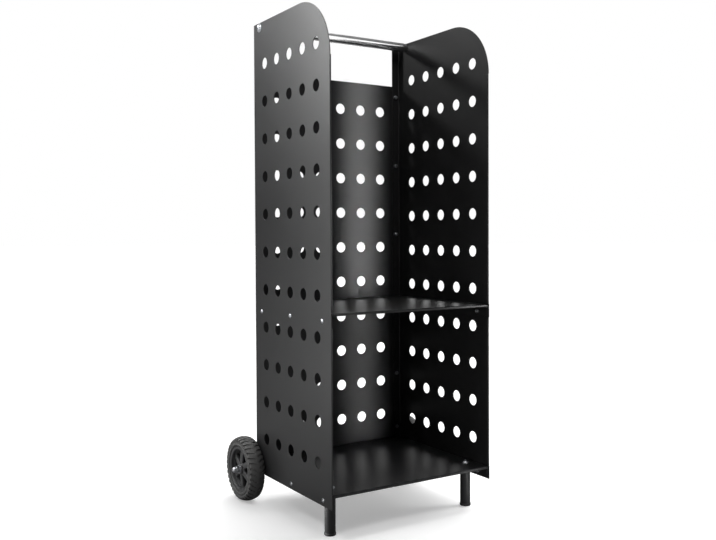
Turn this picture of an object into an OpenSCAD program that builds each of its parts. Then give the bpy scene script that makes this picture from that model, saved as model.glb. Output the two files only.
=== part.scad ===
// Fireside log cart: two folded, perforated side panels and a perforated back panel in sheet
// steel carry two shelves. The cart stands on two tube legs in front and two wheels behind,
// and is tilted and pulled by the tube between the tops of the side panels.
// Millimetres. X runs across the cart, Y from the front to the rear, Z up from the floor.
// The origin is on the floor, in the middle of the overall width and the overall depth.

/* [Cart body] */
// Width over the outer faces of the side panels
body_w = 372; // [320:1:460]
// Depth of a side panel from its front edge to its rear face
panel_depth = 317; // [280:1:380]
// Height of a side panel
panel_h = 938; // [800:1:1100]
// Height of the side panels' lower edges above the floor
ground_gap = 62; // [52:1:75]
// Thickness of the folded sheet
sheet_t = 1.5; // [1:0.1:2]
// Inner radius of every fold
fold_r = 1.5; // [1:0.1:2.5]
// Radius of each side panel's front top corner
top_corner_r = 115; // [60:1:140]
// Width of the flange turned in along a side panel's rear edge
rear_flange_w = 20; // [18:0.5:26]
// Width of the flattened hem inside a side panel's front edge
hem_w = 15; // [8:0.5:20]
// Length by which a hem stops short of a shelf
hem_gap = 2; // [1:0.5:6]
// Height from the back panel's top edge to the side panels' top
back_drop = 95.4; // [60:0.2:140]

/* [Perforation] */
// Diameter of the round holes
hole_d = 23; // [16:0.5:28]
// Vertical pitch of the rows of holes
row_pitch = 77.5; // [64:0.5:95]
// Pitch of the columns in a side panel
side_column_pitch = 53.8; // [42:0.1:58]
// Pitch of the columns in the back panel
back_column_pitch = 53; // [42:0.1:57]
// Depth of a side panel's first row below its top
side_first_row = 86.5; // [75:0.5:100]
// Depth of the back panel's first row below its top edge
back_first_row = 61.5; // [50:0.5:80]
// Least distance from a hole's centre to the edge that ends its pattern
hole_margin = 38; // [30:1:40]

/* [Shelves] */
// Rows of holes in a side panel above the middle shelf
row_count_above_shelf = 7; // [5:1:8]
// Height of the middle shelf's top above the row of holes below it
middle_shelf_rise = 47.4; // [42:0.2:60]
// Height of the bottom shelf's top above the side panels' lower edges
bottom_shelf_rise = 26.4; // [26:0.2:40]
// Depth of a shelf's side and rear flanges
shelf_flange_h = 25; // [22:0.5:26]
// Depth of the lip along a shelf's front
shelf_lip_h = 5; // [5:0.5:12]
// Distance from the side panels' front edges back to a shelf's lip
shelf_front_gap = 0.5; // [0.5:0.5:3]
// Depth of the line of shelf screws below a shelf's top
screw_drop = 15.8; // [13:0.1:17]
// Distance from a side panel's front and rear edges to the outer shelf screws
screw_end = 32.5; // [25:0.5:45]

/* [Handle] */
// Outside diameter of the handle tube
handle_d = 20; // [16:0.5:25]
// Wall of the handle tube
handle_wall = 1.5; // [1:0.1:2]
// Distance from the side panels' rear faces forward to the handle's axis
handle_setback = 30; // [24:0.5:60]
// Distance from the side panels' top down to the top of the handle tube
handle_top_gap = 0; // [0:0.5:15]
// Length of the threaded insert in each end of the handle tube
handle_insert_l = 25; // [15:1:40]

/* [Legs] */
// Outside diameter of a leg tube
leg_d = 21; // [18:0.5:25]
// Wall of a leg tube
leg_wall = 1.5; // [1:0.1:2]
// Distance from a side panel's outer face to the leg's axis
leg_side_inset = 24; // [23:0.5:60]
// Distance from the side panels' front edges to the leg's axis
leg_front_inset = 48.7; // [30:0.1:80]
// Length of the threaded insert in the top of a leg tube
leg_insert_l = 20; // [12:1:26]
// Diameter of a foot cap
foot_cap_d = 22.6; // [22:0.2:30]
// Height of a foot cap below the leg tube
foot_cap_h = 5; // [3:0.5:10]
// Length of a foot cap's plug inside the leg tube
foot_plug_l = 14; // [8:1:20]

/* [Wheels] */
// Diameter of a wheel over its tyre
wheel_d = 134; // [126:1:150]
// Width of a tyre
tyre_w = 33; // [31:0.5:38]
// Diameter of a wheel rim over its flanges
rim_d = 96; // [88:1:98]
// Width of a wheel rim over its flanges
rim_w = 29; // [24:0.5:30]
// Wall of the rim's barrel and flanges
rim_wall = 3; // [2.5:0.1:4]
// Depth of the channel that holds the tyre's bead
rim_channel = 4; // [3:0.5:5]
// Diameter of a wheel's hub
hub_d = 24; // [22:0.5:30]
// Length of a wheel's hub
hub_l = 29.6; // [26:0.2:31]
// Number of spokes
spoke_count = 6; // [3:1:8]
// Width of a spoke
spoke_w = 12; // [8:0.5:14]
// Thickness of the spokes
spoke_t = 5; // [3:0.5:7]
// Depth of the spokes' outer ends below the rim's outer face
spoke_recess = 7; // [4:0.5:10]
// Height by which the spokes rise towards the hub
spoke_rise = 3; // [0:0.5:4]
// Height of the rib along the back of each spoke
spoke_rib_h = 5; // [2:0.5:7]
// Width of that rib
spoke_rib_w = 3; // [2:0.5:5]
// Number of tread blocks round each shoulder of a tyre
tread_blocks = 36; // [20:1:44]
// Width of the grooves between the tread blocks
groove_w = 3; // [2:0.1:4]
// Depth of the grooves
groove_depth = 2.2; // [1.5:0.1:4]
// Slant of the grooves against the wheel's axis, in degrees
groove_slant = 24; // [0:1:35]
// Slope by which the grooves deepen towards the shoulders, in degrees
groove_slope = 18; // [10:1:22]
// Radius of the crown across the tread
crown_r = 30; // [26:1:45]
// Radius of a tyre's shoulders
shoulder_r = 4; // [3:0.5:6]
// Gap from a side panel's outer face to the wheel
wheel_gap = 3; // [3:0.5:10]

/* [Axle] */
// Diameter of the axle rod
axle_d = 10; // [9:0.5:12]
// Diameter of the thread on each end of the axle rod
axle_thread_d = 8; // [6:0.5:8]
// Distance from the side panels' rear faces back to the axle's axis
axle_setback = 13.5; // [12.5:0.5:40]
// Thickness of an axle bracket
bracket_t = 3; // [2.5:0.1:4]
// Width of an axle bracket's base
bracket_w = 26; // [24:0.5:40]
// Distance from a side panel's outer face in to an axle bracket's outer face
bracket_inset = 2; // [1:0.5:4]
// Radius of the eye that holds the axle
eye_r = 11; // [10:0.5:14]
// Distance between the two bolts of an axle bracket
bracket_bolt_pitch = 40; // [34:0.5:60]
// Height of a bracket's base above its upper bolt and below its lower bolt
bracket_end = 9; // [8:0.5:12]
// Outside diameter of the spacer sleeves
sleeve_d = 16; // [14:0.5:20]

/* [Fasteners] */
// Diameter of the sheet screws
screw_d = 5; // [4:0.5:5.5]
// Diameter of a sheet screw's head
screw_head_d = 9; // [8.5:0.5:10]
// Height of a sheet screw's head
screw_head_h = 2.6; // [2:0.1:3.5]
// Width across the flats of a sheet screw's socket
screw_socket_af = 3; // [2.5:0.1:3.5]
// Width across the flats of a sheet screw's nut
nut_af = 8; // [7.5:0.1:9]
// Height of that nut
nut_h = 4; // [3:0.1:5]
// Length of thread that stands out of each nut
thread_tail = 1.5; // [0.5:0.1:3]
// Distance from a side panel's outer face to the line of screws in its rear flange
flange_screw_inset = 11.5; // [10.5:0.1:13]
// Back panel screws in each side above the middle shelf
upper_back_screws = 3; // [1:1:5]
// Distance from the back panel's top edge down to its first screw
back_screw_drop = 25; // [15:1:40]
// Diameter of the handle and leg bolts
bolt_d = 8; // [6:0.5:8]
// Diameter of a bolt's head
bolt_head_d = 14; // [13:0.5:15]
// Height of a bolt's head
bolt_head_h = 4.4; // [3.5:0.1:6]
// Width across the flats of a bolt's socket
bolt_socket_af = 5; // [4:0.1:6]
// Diameter of the washers
washer_d = 18; // [16:0.5:19]
// Thickness of the washers
washer_t = 1.6; // [1:0.1:2]
// Width across the flats of the axle's cap nuts
cap_nut_af = 13; // [12:0.1:14]
// Height of the hexagon of a cap nut
cap_nut_hex_h = 6.5; // [5:0.1:8]
// Height of a cap nut over its dome
cap_nut_h = 15; // [12:0.1:16]

/* [Fits] */
// Radial gap between an axle and a wheel's bore
running_gap = 0.05; // [0.02:0.01:0.1]
// Radial gap round a screw, bolt or axle in its clearance hole
hole_gap = 0.25; // [0.1:0.05:0.5]
// Radial gap round what is pressed, screwed or stretched on
seat_gap = 0.1; // [0.05:0.01:0.2]
// End play of a wheel between its sleeve and its washer, at each face
wheel_play = 0.3; // [0.1:0.05:0.6]

/* [Hidden] */
$fn = 64;

// How far a cutting shape reaches past what it cuts, and a rib or web into what carries it
cut_margin = 1;
join = 1;

// Radius outside a fold
bend_r = fold_r + sheet_t;

// Lengths along Y, with the overall depth centred on the origin
overall_depth = panel_depth + axle_setback + wheel_d / 2;
front_y = -overall_depth / 2;
rear_y = front_y + panel_depth;
panel_mid_y = (front_y + rear_y) / 2;
axle_y = rear_y + axle_setback;
handle_y = rear_y - handle_setback;
leg_y = front_y + leg_front_inset;
screw_ys = [front_y + screw_end, panel_mid_y, rear_y - screw_end];
back_face_y = rear_y + sheet_t;

// Heights
top_z = ground_gap + panel_h;
axle_z = wheel_d / 2;
back_top_z = top_z - back_drop;
back_h = back_top_z - ground_gap;
handle_z = top_z - handle_top_gap - handle_d / 2;
bottom_shelf_z = ground_gap + bottom_shelf_rise;
row_below_shelf_z = top_z - side_first_row - row_count_above_shelf * row_pitch;
middle_shelf_z = row_below_shelf_z + middle_shelf_rise;
middle_screw_z = middle_shelf_z - screw_drop;
bottom_screw_z = bottom_shelf_z - screw_drop;
leg_top_z = bottom_shelf_z - sheet_t;

// Lengths across the cart, on its right side
outer_x = body_w / 2;
inner_x = outer_x - sheet_t;
flange_screw_x = outer_x - flange_screw_inset;
leg_x = outer_x - leg_side_inset;
wheel_x = outer_x + wheel_gap;
bracket_x = outer_x - bracket_inset;
hub_face_x = wheel_x + hub_l;
shoulder_x = hub_face_x + wheel_play;
cap_nut_x = shoulder_x + washer_t;

// Shelves and back panel
shelf_w = 2 * inner_x;
shelf_front_y = front_y + shelf_front_gap;
shelf_rear_y = rear_y - sheet_t;
back_w = body_w - 2 * bend_r;

// Perforation: as many holes as the sheet has room for, centred across it
side_columns = floor((panel_depth - 2 * hole_margin) / side_column_pitch) + 1;
back_columns = floor((back_w - 2 * hole_margin) / back_column_pitch) + 1;
lowest_hole_z = bottom_shelf_z + hole_margin;
side_rows = floor((top_z - side_first_row - lowest_hole_z) / row_pitch) + 1;
back_rows = floor((back_top_z - back_first_row - lowest_hole_z) / row_pitch) + 1;

// Back panel screws: evenly spaced above the middle shelf, one at it and one below it
top_back_screw_z = back_top_z - back_screw_drop;
upper_screw_step = (top_back_screw_z - middle_screw_z) / upper_back_screws;
lower_back_screw_z = (middle_screw_z + bottom_screw_z) / 2;
plain_back_screw_zs = concat(
    [for (i = [0 : upper_back_screws - 1]) top_back_screw_z - i * upper_screw_step],
    [lower_back_screw_z]);

// Share of a threaded insert's length that its bolt reaches
bolt_reach = 0.8;

// Axle brackets: radius outside the fold, and the height of the upper bolt
bracket_bend_r = fold_r + bracket_t;
upper_bracket_bolt_z = bottom_screw_z + bracket_bolt_pitch;

// Cap nuts: depth of the threaded hole, the gap past the axle's end, and the step at the dome
cap_nut_hole_h = cap_nut_h * 0.65;
cap_nut_end_gap = cap_nut_h * 0.05;
dome_inset = 0.25;

// Wheel
wheel_r = wheel_d / 2;
rim_r = rim_d / 2;
channel_r = rim_r - rim_channel;
barrel_r = channel_r - rim_wall;
rim_start = (tyre_w - rim_w) / 2;
rim_end = rim_start + rim_w;
hub_r = hub_d / 2;
spoke_front = rim_end - spoke_recess;
window_gap = 2;
bead_gap = 0.4;
groove_reach = tyre_w * 0.44;

// Section of the tread: where a shoulder's arc is centred, and where it meets the crown's arc
crown_c = wheel_r - crown_r;
shoulder_c = crown_c + sqrt(pow(crown_r - shoulder_r, 2) - pow(tyre_w / 2 - shoulder_r, 2));
crown_start = tyre_w / 2 - (tyre_w / 2 - shoulder_r) * crown_r / (crown_r - shoulder_r);

// ---- Shapes that several pieces share ----

// Repeats what is drawn on the right side on the left side
module both_sides() {
    children();
    mirror([1, 0, 0]) children();
}

// Round bar along X, Y or Z, from one coordinate to another
module bar_x(d, from, to, y, z) {
    translate([from, y, z]) rotate([0, 90, 0]) cylinder(d = d, h = to - from);
}
module bar_y(d, from, to, x, z) {
    translate([x, to, z]) rotate([90, 0, 0]) cylinder(d = d, h = to - from);
}
module bar_z(d, from, to, x, y) {
    translate([x, y, from]) cylinder(d = d, h = to - from);
}

// Section of a folded edge: the sheet's upper face ends at the origin and turns down
module fold_section(drop) {
    intersection() {
        translate([0, -bend_r]) difference() {
            circle(r = bend_r);
            circle(r = fold_r);
        }
        translate([0, -bend_r]) square(bend_r);
    }
    translate([fold_r, -drop]) square([sheet_t, drop - bend_r]);
}

// Domed screw or bolt along +Z: the head stands on z = 0 and the shank hangs below it
module domed_fastener(d, head_d, head_h, shank_l, socket_af) {
    dome_r = (head_h * head_h + head_d * head_d / 4) / (2 * head_h);
    difference() {
        rotate_extrude() intersection() {
            translate([0, head_h - dome_r]) circle(r = dome_r, $fn = 96);
            square([head_d / 2, head_h]);
        }
        translate([0, 0, head_h * 0.45]) cylinder(d = socket_af / cos(30), h = head_h, $fn = 6);
    }
    translate([0, 0, -shank_l]) cylinder(d = d, h = shank_l);
}

// Hexagon nut along +Z, standing on z = 0
module hex_nut(d, af, h) {
    difference() {
        cylinder(d = af / cos(30), h = h, $fn = 6);
        translate([0, 0, -cut_margin]) cylinder(d = d + 2 * seat_gap, h = h + 2 * cut_margin);
    }
}

// Flat washer along +Z, standing on z = 0
module flat_washer(bore) {
    difference() {
        cylinder(d = washer_d, h = washer_t);
        translate([0, 0, -cut_margin])
            cylinder(d = bore + 2 * hole_gap, h = washer_t + 2 * cut_margin);
    }
}

// Round plug with a threaded bore that fills a tube's end, along +Z from z = 0
module threaded_insert(d, l) {
    difference() {
        cylinder(d = d, h = l);
        translate([0, 0, -cut_margin])
            cylinder(d = bolt_d + 2 * seat_gap, h = l + 2 * cut_margin);
    }
}

// ---- Side panels ----

// Outline of a side panel's flat face, seen along X: the front top corner is rounded
module side_outline() {
    difference() {
        translate([front_y, ground_gap]) square([panel_depth - bend_r, panel_h]);
        translate([front_y, top_z - top_corner_r]) difference() {
            square(top_corner_r);
            translate([top_corner_r, 0]) circle(r = top_corner_r, $fn = 180);
        }
    }
}

// Rear fold and flange of a side panel, seen from above
module rear_flange_section() {
    intersection() {
        translate([outer_x - bend_r, rear_y - bend_r]) difference() {
            circle(r = bend_r);
            circle(r = fold_r);
        }
        translate([outer_x - bend_r, rear_y - bend_r]) square(bend_r);
    }
    translate([outer_x - rear_flange_w, rear_y - sheet_t])
        square([rear_flange_w - bend_r, sheet_t]);
}

// One run of the flattened front hem, between two heights
module front_hem(from_z, to_z) {
    translate([0, 0, from_z]) linear_extrude(to_z - from_z) {
        translate([inner_x - sheet_t, front_y + sheet_t]) square([sheet_t, hem_w - sheet_t]);
        intersection() {
            translate([inner_x, front_y + sheet_t]) circle(r = sheet_t);
            translate([inner_x - sheet_t, front_y]) square([2 * sheet_t, sheet_t]);
        }
    }
}

// The sheet that a run of hem replaces along the front edge
module hem_cut(from_z, to_z) {
    translate([inner_x - cut_margin, front_y - cut_margin, from_z])
        cube([sheet_t + 2 * cut_margin, sheet_t + cut_margin, to_z - from_z]);
}

module side_perforation() {
    for (row = [0 : side_rows - 1])
        for (column = [0 : side_columns - 1])
            bar_x(hole_d, inner_x - cut_margin, outer_x + cut_margin,
                panel_mid_y + (column - (side_columns - 1) / 2) * side_column_pitch,
                top_z - side_first_row - row * row_pitch);
}

// The right-hand panel; the left-hand one is its mirror image
module side_panel() {
    lower_hem = [bottom_shelf_z + hem_gap, middle_shelf_z - shelf_flange_h - hem_gap];
    upper_hem = [middle_shelf_z + hem_gap, top_z - top_corner_r];
    color([0.11, 0.11, 0.115]) {
        difference() {
            translate([inner_x, 0, 0]) rotate([90, 0, 90]) linear_extrude(sheet_t) side_outline();
            hem_cut(lower_hem[0], lower_hem[1]);
            hem_cut(upper_hem[0], upper_hem[1]);
            side_perforation();
            for (z = [middle_screw_z, bottom_screw_z])
                for (y = screw_ys)
                    bar_x(screw_d + 2 * hole_gap, inner_x - cut_margin, outer_x + cut_margin, y, z);
            bar_x(bolt_d + 2 * hole_gap, inner_x - cut_margin, outer_x + cut_margin,
                handle_y, handle_z);
        }
        front_hem(lower_hem[0], lower_hem[1]);
        front_hem(upper_hem[0], upper_hem[1]);
        difference() {
            translate([0, 0, ground_gap]) linear_extrude(panel_h) rear_flange_section();
            for (z = concat(plain_back_screw_zs, [middle_screw_z, bottom_screw_z, upper_bracket_bolt_z]))
                bar_y(screw_d + 2 * hole_gap, rear_y - sheet_t - cut_margin, rear_y + cut_margin,
                    flange_screw_x, z);
        }
    }
}

module left_side_panel() {
    mirror([1, 0, 0]) side_panel();
}

module right_side_panel() {
    side_panel();
}

// ---- Back panel and shelves ----

// Flat sheet screwed to the rear faces of the side panels' flanges
module back_panel() {
    color([0.1, 0.1, 0.105]) difference() {
        translate([-back_w / 2, rear_y, ground_gap]) cube([back_w, sheet_t, back_h]);
        for (row = [0 : back_rows - 1])
            for (column = [0 : back_columns - 1])
                bar_y(hole_d, rear_y - cut_margin, back_face_y + cut_margin,
                    (column - (back_columns - 1) / 2) * back_column_pitch,
                    back_top_z - back_first_row - row * row_pitch);
        for (z = concat(plain_back_screw_zs, [middle_screw_z, bottom_screw_z, upper_bracket_bolt_z]))
            both_sides() bar_y(screw_d + 2 * hole_gap, rear_y - cut_margin, back_face_y + cut_margin,
                flange_screw_x, z);
    }
}

// Folded tray: a flat top, side and rear flanges turned down, and a short front lip
module shelf(shelf_z) {
    plate_x = shelf_w / 2 - bend_r;
    plate_front = shelf_front_y + bend_r;
    plate_rear = shelf_rear_y - bend_r;
    screw_z = shelf_z - screw_drop;
    color([0.1, 0.1, 0.105]) difference() {
        union() {
            translate([-plate_x, plate_front, shelf_z - sheet_t])
                cube([2 * plate_x, plate_rear - plate_front, sheet_t]);
            both_sides() translate([plate_x, plate_rear, shelf_z]) rotate([90, 0, 0])
                linear_extrude(plate_rear - plate_front) fold_section(shelf_flange_h);
            translate([-plate_x, plate_rear, shelf_z]) rotate([90, 0, 90])
                linear_extrude(2 * plate_x) fold_section(shelf_flange_h);
            translate([-plate_x, plate_front, shelf_z]) mirror([0, 1, 0]) rotate([90, 0, 90])
                linear_extrude(2 * plate_x) fold_section(shelf_lip_h);
        }
        for (y = screw_ys)
            bar_x(screw_d + 2 * hole_gap, -inner_x - cut_margin, inner_x + cut_margin, y, screw_z);
        both_sides() bar_y(screw_d + 2 * hole_gap, shelf_rear_y - sheet_t - cut_margin,
            shelf_rear_y + cut_margin, flange_screw_x, screw_z);
        if (shelf_z == bottom_shelf_z)
            both_sides() bar_z(bolt_d + 2 * hole_gap, leg_top_z - cut_margin, shelf_z + cut_margin,
                leg_x, leg_y);
    }
}

module middle_shelf() {
    shelf(middle_shelf_z);
}

module bottom_shelf() {
    shelf(bottom_shelf_z);
}

// ---- Screws and nuts of the body ----

// Three screws through each side panel into a shelf's side flange
module shelf_screws(screw_z) {
    shank_l = 2 * sheet_t + nut_h + thread_tail;
    color("silver") both_sides()
        for (y = screw_ys)
            translate([outer_x, y, screw_z]) rotate([0, 90, 0])
                domed_fastener(screw_d, screw_head_d, screw_head_h, shank_l, screw_socket_af);
}

module shelf_nuts(screw_z) {
    color("silver") both_sides()
        for (y = screw_ys)
            translate([inner_x - sheet_t, y, screw_z]) rotate([0, -90, 0]) hex_nut(screw_d, nut_af, nut_h);
}

module middle_shelf_screws() {
    shelf_screws(middle_screw_z);
}

module middle_shelf_nuts() {
    shelf_nuts(middle_screw_z);
}

module bottom_shelf_screws() {
    shelf_screws(bottom_screw_z);
}

module bottom_shelf_nuts() {
    shelf_nuts(bottom_screw_z);
}

// One screw from the rear; layers counts the sheets that it clamps
module back_screw(z, layers) {
    translate([flange_screw_x, back_face_y, z]) rotate([-90, 0, 0])
        domed_fastener(screw_d, screw_head_d, screw_head_h,
            layers * sheet_t + nut_h + thread_tail, screw_socket_af);
}

module back_nut(z, layers) {
    translate([flange_screw_x, back_face_y - layers * sheet_t, z]) rotate([90, 0, 0])
        hex_nut(screw_d, nut_af, nut_h);
}

module back_panel_screws() {
    color("silver") both_sides() {
        for (z = plain_back_screw_zs) back_screw(z, 2);
        back_screw(middle_screw_z, 3);
    }
}

module back_panel_nuts() {
    color("silver") both_sides() {
        for (z = plain_back_screw_zs) back_nut(z, 2);
        back_nut(middle_screw_z, 3);
    }
}

// ---- Handle ----

// Bright tube between the inner faces of the side panels
module handle_tube() {
    color("gainsboro") difference() {
        bar_x(handle_d, -inner_x, inner_x, handle_y, handle_z);
        bar_x(handle_d - 2 * handle_wall, -inner_x - cut_margin, inner_x + cut_margin,
            handle_y, handle_z);
    }
}

module handle_inserts() {
    color("silver") both_sides()
        translate([inner_x, handle_y, handle_z]) rotate([0, -90, 0])
            threaded_insert(handle_d - 2 * handle_wall - 2 * seat_gap, handle_insert_l);
}

module handle_washers() {
    color("silver") both_sides()
        translate([outer_x, handle_y, handle_z]) rotate([0, 90, 0]) flat_washer(bolt_d);
}

module handle_bolts() {
    color("silver") both_sides()
        translate([outer_x + washer_t, handle_y, handle_z]) rotate([0, 90, 0])
            domed_fastener(bolt_d, bolt_head_d, bolt_head_h,
                washer_t + sheet_t + handle_insert_l * bolt_reach, bolt_socket_af);
}

// ---- Front legs ----

// The right-hand leg tube stands on its foot cap and is bolted up against the bottom shelf
module front_leg() {
    color([0.13, 0.13, 0.135]) difference() {
        bar_z(leg_d, foot_cap_h, leg_top_z, leg_x, leg_y);
        bar_z(leg_d - 2 * leg_wall, foot_cap_h - cut_margin, leg_top_z + cut_margin, leg_x, leg_y);
    }
}

module left_front_leg() {
    mirror([1, 0, 0]) front_leg();
}

module right_front_leg() {
    front_leg();
}

module leg_inserts() {
    color("silver") both_sides()
        translate([leg_x, leg_y, leg_top_z - leg_insert_l])
            threaded_insert(leg_d - 2 * leg_wall - 2 * seat_gap, leg_insert_l);
}

module leg_washers() {
    color("silver") both_sides() translate([leg_x, leg_y, bottom_shelf_z]) flat_washer(bolt_d);
}

module leg_bolts() {
    color("silver") both_sides() translate([leg_x, leg_y, bottom_shelf_z + washer_t])
        domed_fastener(bolt_d, bolt_head_d, bolt_head_h,
            washer_t + sheet_t + leg_insert_l * bolt_reach, bolt_socket_af);
}

// Plastic cap with a rounded lower edge and a hollow plug that grips inside the tube
module foot_cap() {
    edge_r = 1.5;
    plug_wall = 2;
    plug_d = leg_d - 2 * leg_wall - 2 * seat_gap;
    color([0.09, 0.09, 0.095]) translate([leg_x, leg_y, 0]) difference() {
        union() {
            rotate_extrude() {
                square([foot_cap_d / 2 - edge_r, foot_cap_h]);
                translate([0, edge_r]) square([foot_cap_d / 2, foot_cap_h - edge_r]);
                translate([foot_cap_d / 2 - edge_r, edge_r]) circle(r = edge_r);
            }
            translate([0, 0, foot_cap_h]) cylinder(d = plug_d, h = foot_plug_l);
        }
        translate([0, 0, foot_cap_h]) cylinder(d = plug_d - 2 * plug_wall, h = foot_plug_l + cut_margin);
    }
}

module left_foot_cap() {
    mirror([1, 0, 0]) foot_cap();
}

module right_foot_cap() {
    foot_cap();
}

// ---- Axle and its brackets ----

// Where a straight edge from a point touches the eye, measured from the eye's centre
function touch_angle(from, turn) = atan2(from[1], from[0]) + turn * acos(eye_r / norm(from));
function touch_point(from, turn) =
    eye_r * [cos(touch_angle(from, turn)), sin(touch_angle(from, turn))];

// Outline of a bracket, seen along X: as high as its base, and drawn in to the eye round the axle
module bracket_outline(low_z, high_z) {
    start = back_face_y - cut_margin - axle_y;
    base = back_face_y + bracket_bend_r - axle_y;
    low_end = [base, low_z - axle_z];
    high_end = [base, high_z - axle_z];
    translate([axle_y, axle_z]) {
        intersection() {
            circle(r = eye_r);
            translate([base, -2 * eye_r]) square(4 * eye_r);
        }
        polygon(concat(
            [[start, low_end[1]], low_end],
            norm(low_end) > eye_r ? [touch_point(low_end, 1)] : [],
            [[0, 0], touch_point(high_end, -1), high_end, [start, high_end[1]]]));
    }
}

// Section of a bracket, seen along Z: the base, the fold and the cheek, which runs past the eye
module bracket_section() {
    translate([bracket_x - bracket_w, back_face_y]) square([bracket_w - bracket_bend_r, bracket_t]);
    intersection() {
        translate([bracket_x - bracket_bend_r, back_face_y + bracket_bend_r]) difference() {
            circle(r = bracket_bend_r);
            circle(r = fold_r);
        }
        translate([bracket_x - bracket_bend_r, back_face_y]) square(bracket_bend_r);
    }
    translate([bracket_x - bracket_t, back_face_y + bracket_bend_r])
        square([bracket_t, axle_y + eye_r + cut_margin - back_face_y - bracket_bend_r]);
}

// The right-hand bracket: an angle bolted to the back panel, with its cheek towards the wheel
module axle_bracket() {
    low_z = bottom_screw_z - bracket_end;
    high_z = upper_bracket_bolt_z + bracket_end;
    section_z = min(low_z, axle_z - eye_r) - cut_margin;
    color([0.12, 0.12, 0.125]) difference() {
        intersection() {
            translate([0, 0, section_z]) linear_extrude(high_z + cut_margin - section_z) bracket_section();
            translate([bracket_x - bracket_w - cut_margin, 0, 0]) rotate([90, 0, 90])
                linear_extrude(bracket_w + 2 * cut_margin) bracket_outline(low_z, high_z);
        }
        bar_x(axle_d + 2 * seat_gap, bracket_x - bracket_t - cut_margin, bracket_x + cut_margin,
            axle_y, axle_z);
        for (z = [bottom_screw_z, upper_bracket_bolt_z])
            bar_y(screw_d + 2 * hole_gap, back_face_y - cut_margin, back_face_y + bracket_t + cut_margin,
                flange_screw_x, z);
    }
}

module left_axle_bracket() {
    mirror([1, 0, 0]) axle_bracket();
}

module right_axle_bracket() {
    axle_bracket();
}

// The lower bolt also clamps the bottom shelf's rear flange
module bracket_bolt(z, layers) {
    translate([flange_screw_x, back_face_y + bracket_t, z]) rotate([-90, 0, 0])
        domed_fastener(screw_d, screw_head_d, screw_head_h,
            bracket_t + layers * sheet_t + nut_h + thread_tail, screw_socket_af);
}

module bracket_bolts() {
    color("silver") both_sides() {
        bracket_bolt(bottom_screw_z, 3);
        bracket_bolt(upper_bracket_bolt_z, 2);
    }
}

module bracket_nuts() {
    color("silver") both_sides() {
        back_nut(bottom_screw_z, 3);
        back_nut(upper_bracket_bolt_z, 2);
    }
}

// Plain rod through both brackets and both wheels, stepped down to a thread at each end
module axle_rod() {
    stub_end_x = cap_nut_x + cap_nut_hole_h - cap_nut_end_gap;
    color("lightgray") {
        bar_x(axle_d, -shoulder_x, shoulder_x, axle_y, axle_z);
        both_sides() bar_x(axle_thread_d, shoulder_x, stub_end_x, axle_y, axle_z);
    }
}

// Short tubes that keep the wheels off the side panels
module axle_sleeves() {
    color("silver") both_sides() difference() {
        bar_x(sleeve_d, bracket_x, wheel_x - wheel_play, axle_y, axle_z);
        bar_x(axle_d + 2 * seat_gap, bracket_x - cut_margin, wheel_x + cut_margin, axle_y, axle_z);
    }
}

module axle_washers() {
    color("silver") both_sides()
        translate([shoulder_x, axle_y, axle_z]) rotate([0, 90, 0]) flat_washer(axle_thread_d);
}

// Domed nuts that close the axle's ends
module axle_cap_nuts() {
    dome_r = cap_nut_af / 2 - dome_inset;
    color("silver") both_sides()
        translate([cap_nut_x, axle_y, axle_z]) rotate([0, 90, 0]) difference() {
            union() {
                cylinder(d = cap_nut_af / cos(30), h = cap_nut_hex_h, $fn = 6);
                rotate_extrude() {
                    square([dome_r, cap_nut_h - dome_r]);
                    intersection() {
                        translate([0, cap_nut_h - dome_r]) circle(r = dome_r);
                        square([dome_r, cap_nut_h]);
                    }
                }
            }
            translate([0, 0, -cut_margin])
                cylinder(d = axle_thread_d + 2 * seat_gap, h = cap_nut_hole_h + cut_margin);
        }
}

// ---- Wheels ----
// A wheel is drawn round Z, with its inner face on z = 0 and its outer face at the top.

// Section of the moulded rim: hub, coned web and channel for the tyre
module rim_section() {
    bore_r = axle_d / 2 + running_gap;
    translate([bore_r, 0]) square([hub_r - bore_r, hub_l]);
    polygon([
        [hub_r - join, spoke_front + spoke_rise],
        [barrel_r + join, spoke_front],
        [barrel_r + join, spoke_front - spoke_t],
        [hub_r - join, spoke_front + spoke_rise - spoke_t]]);
    translate([barrel_r, rim_start]) square([rim_wall, rim_w]);
    for (s = [rim_start, rim_end - rim_wall])
        translate([barrel_r, s]) square([rim_r - barrel_r, rim_wall]);
}

// A spoke points straight up when the wheel is at rest
function spoke_angle(i) = 180 + i * 360 / spoke_count;

// The windows between the spokes, seen along the axle
module rim_windows() {
    difference() {
        circle(r = barrel_r - window_gap);
        circle(r = hub_r + window_gap);
        for (i = [0 : spoke_count - 1])
            rotate(spoke_angle(i)) translate([0, -spoke_w / 2]) square([barrel_r, spoke_w]);
    }
}

module wheel_rim() {
    rib_low = spoke_front - spoke_t - spoke_rib_h;
    rib_high = spoke_front - join;
    color([0.1, 0.1, 0.105]) {
        difference() {
            rotate_extrude($fn = 96) rim_section();
            translate([0, 0, -cut_margin]) linear_extrude(tyre_w + 2 * cut_margin) rim_windows();
        }
        for (i = [0 : spoke_count - 1])
            rotate(spoke_angle(i))
                translate([hub_r - join, -spoke_rib_w / 2, rib_low])
                    cube([barrel_r - hub_r + 2 * join, spoke_rib_w, rib_high - rib_low]);
    }
}

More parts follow.
